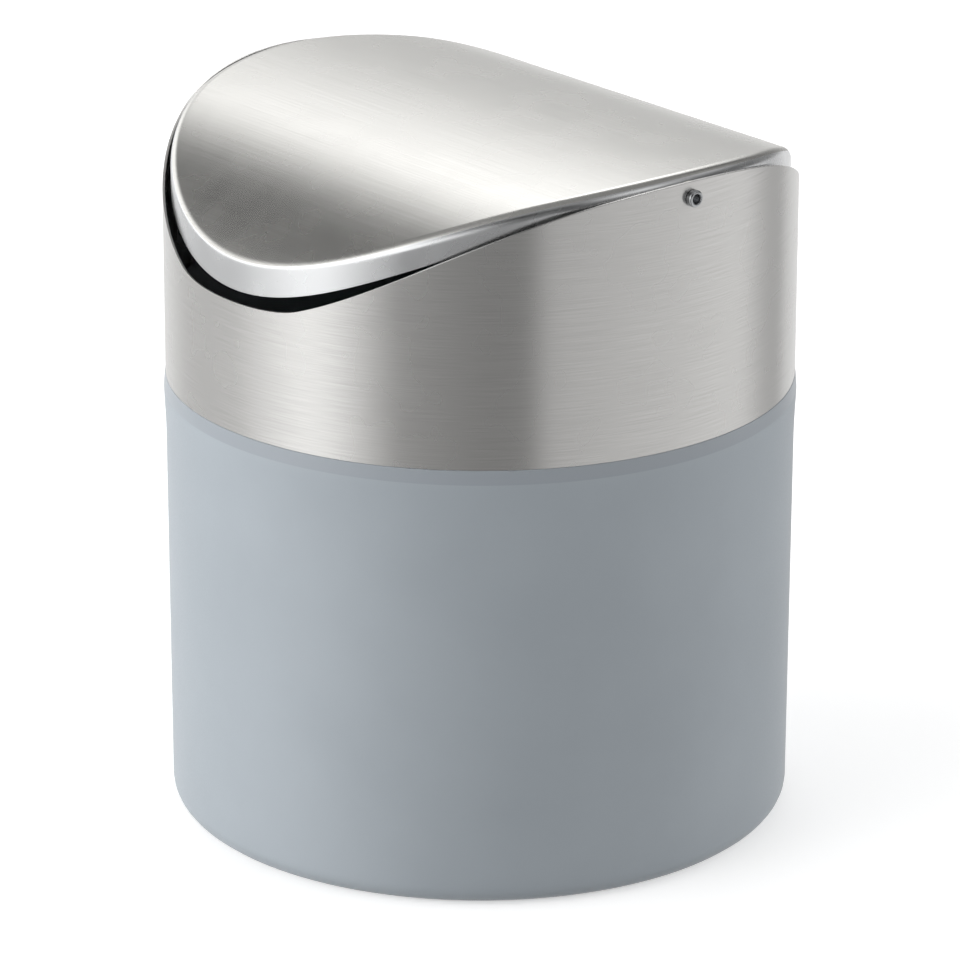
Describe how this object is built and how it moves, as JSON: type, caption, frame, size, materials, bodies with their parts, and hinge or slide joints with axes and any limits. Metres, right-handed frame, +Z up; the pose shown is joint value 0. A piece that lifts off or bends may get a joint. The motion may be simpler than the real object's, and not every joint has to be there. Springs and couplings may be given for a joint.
{
  "type": "countertop waste bin with swing lid",
  "caption": "Small round table bin: satin plastic bucket, lift-off brushed steel collar with an arched rim, and a pressed steel lid that swings about a cross axis.",
  "frame": {"origin": "centre of the foot ring, on the surface that the bin stands on", "axes": "+Z up; X along the lid's pivot axis; -Y is the front, where the rim dips"},
  "size_m": [0.1226, 0.1206, 0.1381],
  "materials": {
    "bucket_plastic": "satin blue-grey moulded polypropylene",
    "brushed_steel": "brushed round the tube",
    "lid_steel": "brushed top with a polished skirt",
    "rivet_steel": "plain drawn steel",
    "nylon": "natural nylon",
    "weight_steel": "plain rolled strip"
  },
  "bodies": {
    "bucket": {"bucket": "bucket_plastic"},
    "collar": {"collar": "brushed_steel"},
    "lid": {"lid": "lid_steel", "pivot_rivet_right": "rivet_steel", "pivot_rivet_left": "rivet_steel", "spacer_washer_right": "nylon", "spacer_washer_left": "nylon", "balance_weight_front": "weight_steel", "balance_weight_back": "weight_steel"}
  },
  "joints": [
    {"name": "collar_lift", "type": "slide", "parent": "bucket", "child": "collar", "axis": [0, 0, 1], "range_m": [0, 0.05]},
    {"name": "lid_swing", "type": "hinge", "parent": "collar", "child": "lid", "pos_m": [0, 0, 0.1341], "axis": [1, 0, 0], "continuous": true}
  ]
}
